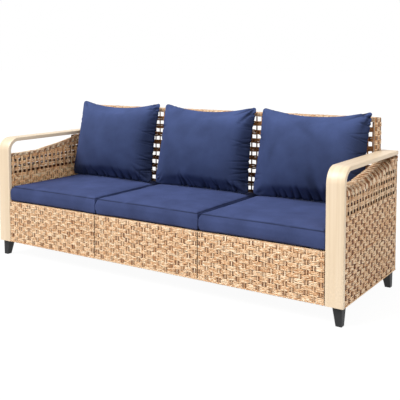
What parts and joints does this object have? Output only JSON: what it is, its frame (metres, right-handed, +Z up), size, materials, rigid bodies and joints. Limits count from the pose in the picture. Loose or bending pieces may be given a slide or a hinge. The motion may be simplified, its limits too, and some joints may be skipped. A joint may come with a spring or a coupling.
{
  "type": "rattan garden sofa",
  "caption": "Three-seat rattan garden sofa with woven box arms, bent flat armrests, an open lattice back and loose blue cushions.",
  "frame": {"origin": "on the floor, midway between the arms and midway from the front of the armrests to the back", "axes": "+Z up, +Y to the back of the sofa, +X along the seat, to the right as seen from the front"},
  "size_m": [1.93, 0.632, 0.7891],
  "materials": {
    "woven": "flat resin wicker strands, light tan with brown streaks, slight sheen",
    "band": "pale wood-grain coating, satin",
    "frame": "brown powder coat, satin",
    "webbing": "dark woven straps, matt",
    "leg": "black powder coat, satin",
    "zinc": "zinc plated",
    "cushion": "navy blue plain-weave outdoor cloth, matt"
  },
  "bodies": {
    "root": {"back_lattice": "woven", "back_lower_weave": "woven", "back_mid_rail": "frame", "back_top_tube": "frame", "back_top_wrap": "woven", "centre_apron_weave": "woven", "centre_back_pillow": "cushion", "centre_seat_cushion": "cushion", "centre_seat_deck": "webbing", "left_apron_weave": "woven", "left_arm_bolt_front": "zinc", "left_arm_bolt_rear": "zinc", "left_arm_border_braid": "woven", "left_arm_bottom_ladder": "frame", "left_arm_front_post": "frame", "left_arm_inner_weave": "woven", "left_arm_outer_weave": "woven", "left_arm_rear_post": "frame", "left_arm_rear_weave": "woven", "left_arm_top_ladder": "frame", "left_armrest_band": "band", "left_back_pillow": "cushion", "left_back_post_tube": "frame", "left_back_post_wrap": "woven", "left_front_foot": "leg", "left_rear_foot": "leg", "left_seat_bottom_rail": "frame", "left_seat_cross_rail": "frame", "left_seat_cushion": "cushion", "left_seat_deck": "webbing", "left_seat_front_strut": "frame", "left_seat_side_rail": "frame", "right_apron_weave": "woven", "right_arm_bolt_front": "zinc", "right_arm_bolt_rear": "zinc", "right_arm_border_braid": "woven", "right_arm_bottom_ladder": "frame", "right_arm_front_post": "frame", "right_arm_inner_weave": "woven", "right_arm_outer_weave": "woven", "right_arm_rear_post": "frame", "right_arm_rear_weave": "woven", "right_arm_top_ladder": "frame", "right_armrest_band": "band", "right_back_pillow": "cushion", "right_back_post_tube": "frame", "right_back_post_wrap": "woven", "right_front_foot": "leg", "right_rear_foot": "leg", "right_seat_bottom_rail": "frame", "right_seat_cross_rail": "frame", "right_seat_cushion": "cushion", "right_seat_deck": "webbing", "right_seat_front_strut": "frame", "right_seat_side_rail": "frame", "seat_front_bottom_rail": "frame", "seat_front_top_rail": "frame", "seat_rear_bottom_rail": "frame", "seat_rear_top_rail": "frame"}
  },
  "joints": []
}
